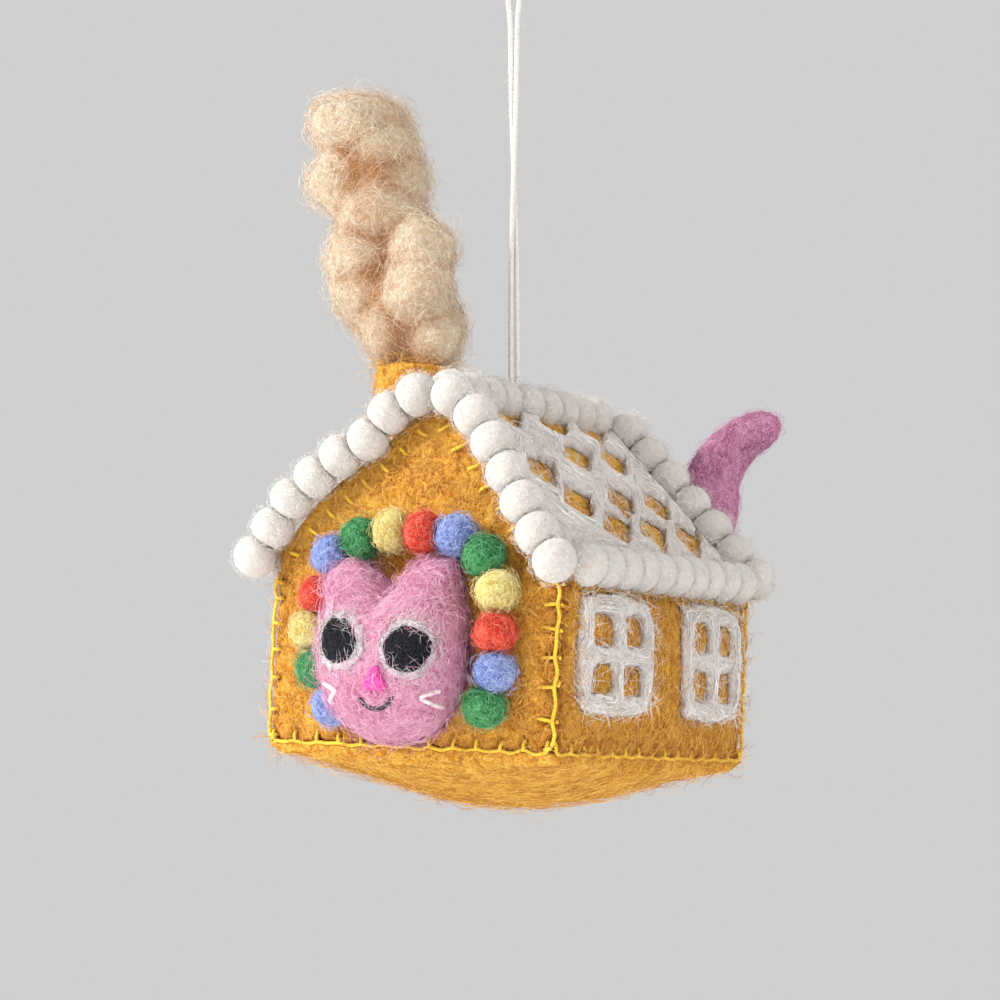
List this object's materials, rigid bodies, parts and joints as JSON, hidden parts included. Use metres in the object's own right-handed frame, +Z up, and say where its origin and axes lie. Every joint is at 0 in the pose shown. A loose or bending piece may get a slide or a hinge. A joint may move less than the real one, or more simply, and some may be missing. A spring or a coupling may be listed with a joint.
{
  "type": "hanging felt house ornament",
  "caption": "Stuffed wool felt gingerbread house ornament with ball trim, a cat's head in front, its tail behind and chimney smoke, hanging from a doubled cord.",
  "frame": {"origin": "inside of the top of the hanging loop, where a hook holds the cord", "axes": "+Z up along the taut cord; +X to the house's right seen from its front, along its gable wall; -Y the way the front gable and the cat's face look; the house hangs tipped back about 4.9 degrees"},
  "size_m": [0.0948, 0.1285, 0.2071],
  "materials": {
    "gingerbread_felt": "needle-felted and sheet wool felt, matte and fuzzy",
    "icing_wool": "loose white wool needled onto the felt, matte",
    "white_ball_felt": "smooth wet-felted wool balls, matte",
    "cat_pink_felt": "needle-felted wool, matte and hairy",
    "tail_pink_felt": "needle-felted wool, matte",
    "smoke_wool": "loose carded wool, very fuzzy",
    "eye_white_wool": "thin white wool, matte",
    "pupil_wool": "black wool, matte",
    "nose_wool": "hot pink wool, matte",
    "cotton_cord": "twisted cotton, matte",
    "filling": "loose fibre filling",
    "blue_ball_felt": "felted wool ball, matte",
    "green_ball_felt": "felted wool ball, matte",
    "yellow_ball_felt": "felted wool ball, matte",
    "red_ball_felt": "felted wool ball, matte"
  },
  "bodies": {
    "cord": {"hanging_cord": "cotton_cord"},
    "cord_end": {"cord_end": "cotton_cord"},
    "house": {"front_wall": "gingerbread_felt", "back_wall": "gingerbread_felt", "right_wall": "gingerbread_felt", "left_wall": "gingerbread_felt", "base_panel": "gingerbread_felt", "roof_panel_right": "gingerbread_felt", "roof_panel_left": "gingerbread_felt", "chimney": "gingerbread_felt", "roof_lattice_right": "icing_wool", "roof_lattice_left": "icing_wool", "window_right_front": "icing_wool", "window_right_back": "icing_wool", "window_left_front": "icing_wool", "window_left_back": "icing_wool", "eave_balls_right": "white_ball_felt", "eave_balls_left": "white_ball_felt", "back_rake_balls_right": "white_ball_felt", "back_rake_balls_left": "white_ball_felt", "front_rake_balls_right": "white_ball_felt", "front_rake_balls_left": "white_ball_felt", "ridge_balls_front": "white_ball_felt", "ridge_balls_back": "white_ball_felt", "stuffing": "filling", "smoke_puff": "smoke_wool", "cat_head": "cat_pink_felt", "cat_tail": "tail_pink_felt", "eye_white_right": "eye_white_wool", "pupil_right": "pupil_wool", "eye_white_left": "eye_white_wool", "pupil_left": "pupil_wool", "nose": "nose_wool", "arch_ball_01_green": "green_ball_felt", "arch_ball_02_blue": "blue_ball_felt", "arch_ball_03_red": "red_ball_felt", "arch_ball_04_yellow": "yellow_ball_felt", "arch_ball_05_green": "green_ball_felt", "arch_ball_06_blue": "blue_ball_felt", "arch_ball_07_red": "red_ball_felt", "arch_ball_08_yellow": "yellow_ball_felt", "arch_ball_09_green": "green_ball_felt", "arch_ball_10_blue": "blue_ball_felt", "arch_ball_11_red": "red_ball_felt", "arch_ball_12_yellow": "yellow_ball_felt", "arch_ball_13_green": "green_ball_felt", "arch_ball_14_blue": "blue_ball_felt"}
  },
  "joints": [
    {"name": "house_tilt", "type": "hinge", "parent": "cord", "child": "cord_end", "pos_m": [0, 0, -0.104], "axis": [1, 0, 0], "range_deg": [-12, 12]},
    {"name": "house_spin", "type": "hinge", "parent": "cord_end", "child": "house", "pos_m": [0, 0, -0.104], "axis": [0, 0, 1], "range_deg": [-180, 180]}
  ]
}
